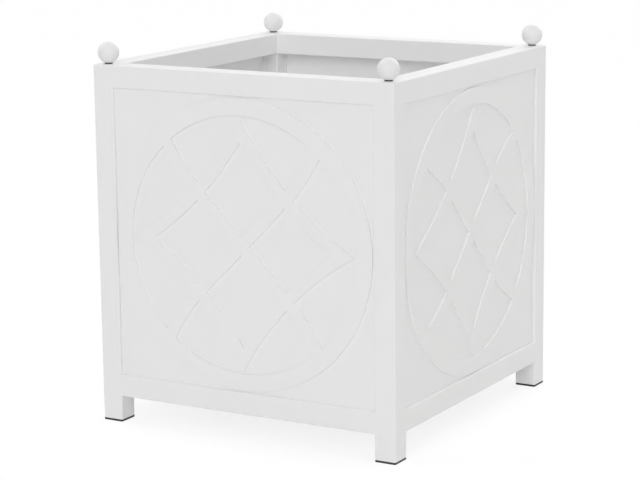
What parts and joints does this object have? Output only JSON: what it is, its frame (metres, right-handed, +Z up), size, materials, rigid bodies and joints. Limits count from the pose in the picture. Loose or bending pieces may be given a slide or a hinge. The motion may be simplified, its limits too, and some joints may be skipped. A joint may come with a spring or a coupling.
{
  "type": "versailles planter",
  "caption": "Square white metal planter box on corner posts with ball finials, round fretwork medallions on the side panels and a lift-out drained floor.",
  "frame": {"origin": "on the floor, below the middle of the planter", "axes": "+Z up; -Y out of the front side, +X out of the right side"},
  "size_m": [0.6, 0.6, 0.6867],
  "materials": {
    "frame_coat": "satin",
    "panel_coat": "satin",
    "fretwork_coat": "satin",
    "finial_coat": "satin",
    "glide_plastic": "matte",
    "washer_rubber": "matte",
    "stud_steel": "satin",
    "floor_coat": "satin"
  },
  "bodies": {
    "planter_box": {"foot_glide_front_left": "glide_plastic", "corner_post_front_left": "frame_coat", "post_cap_front_left": "frame_coat", "finial_washer_front_left": "washer_rubber", "finial_stud_front_left": "stud_steel", "finial_ball_front_left": "finial_coat", "foot_glide_front_right": "glide_plastic", "corner_post_front_right": "frame_coat", "post_cap_front_right": "frame_coat", "finial_washer_front_right": "washer_rubber", "finial_stud_front_right": "stud_steel", "finial_ball_front_right": "finial_coat", "foot_glide_back_right": "glide_plastic", "corner_post_back_right": "frame_coat", "post_cap_back_right": "frame_coat", "finial_washer_back_right": "washer_rubber", "finial_stud_back_right": "stud_steel", "finial_ball_back_right": "finial_coat", "foot_glide_back_left": "glide_plastic", "corner_post_back_left": "frame_coat", "post_cap_back_left": "frame_coat", "finial_washer_back_left": "washer_rubber", "finial_stud_back_left": "stud_steel", "finial_ball_back_left": "finial_coat", "top_rail_front": "frame_coat", "bottom_rail_front": "frame_coat", "side_panel_front": "panel_coat", "fretwork_medallion_front": "fretwork_coat", "floor_ledge_front": "frame_coat", "top_rail_right": "frame_coat", "bottom_rail_right": "frame_coat", "side_panel_right": "panel_coat", "fretwork_medallion_right": "fretwork_coat", "floor_ledge_right": "frame_coat", "top_rail_back": "frame_coat", "bottom_rail_back": "frame_coat", "side_panel_back": "panel_coat", "fretwork_medallion_back": "fretwork_coat", "floor_ledge_back": "frame_coat", "top_rail_left": "frame_coat", "bottom_rail_left": "frame_coat", "side_panel_left": "panel_coat", "fretwork_medallion_left": "fretwork_coat", "floor_ledge_left": "frame_coat", "floor_bearer_left": "frame_coat", "floor_bearer_right": "frame_coat"},
    "lift_out_floor": {"floor_plate": "floor_coat"}
  },
  "joints": [
    {"name": "floor_lift", "type": "slide", "parent": "planter_box", "child": "lift_out_floor", "axis": [0, 0, 1], "range_m": [0, 0.6]}
  ]
}
